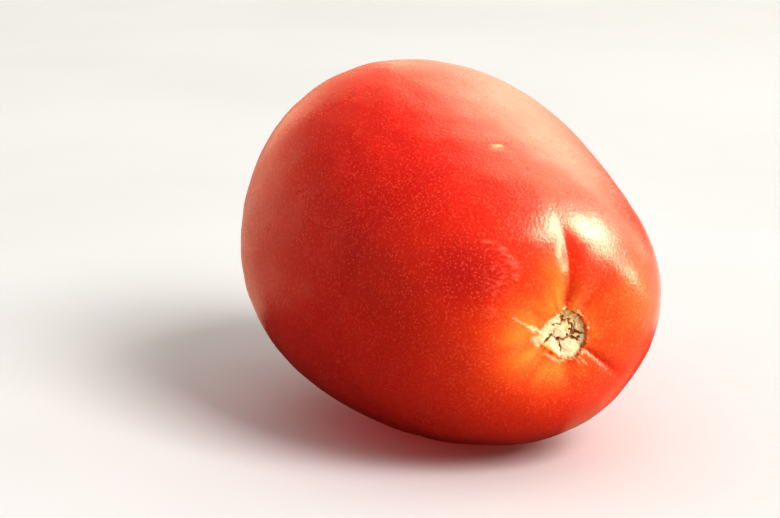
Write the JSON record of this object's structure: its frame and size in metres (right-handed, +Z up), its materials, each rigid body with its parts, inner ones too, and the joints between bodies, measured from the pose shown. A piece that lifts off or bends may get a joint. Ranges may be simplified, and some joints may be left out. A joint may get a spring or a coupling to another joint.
{
  "type": "plum tomato",
  "caption": "Whole ripe plum tomato lying on its side, egg-shaped with a glossy red skin, a corky stalk scar in a furrowed hollow and a small flat spot underneath.",
  "frame": {"origin": "on the surface the fruit lies on, under the middle of its bounding box", "axes": "+X along the fruit towards the stem end, +Z up"},
  "size_m": [0.0722, 0.0584, 0.0542],
  "materials": {
    "skin": null
  },
  "bodies": {
    "root": {"tomato": "skin"}
  },
  "joints": []
}
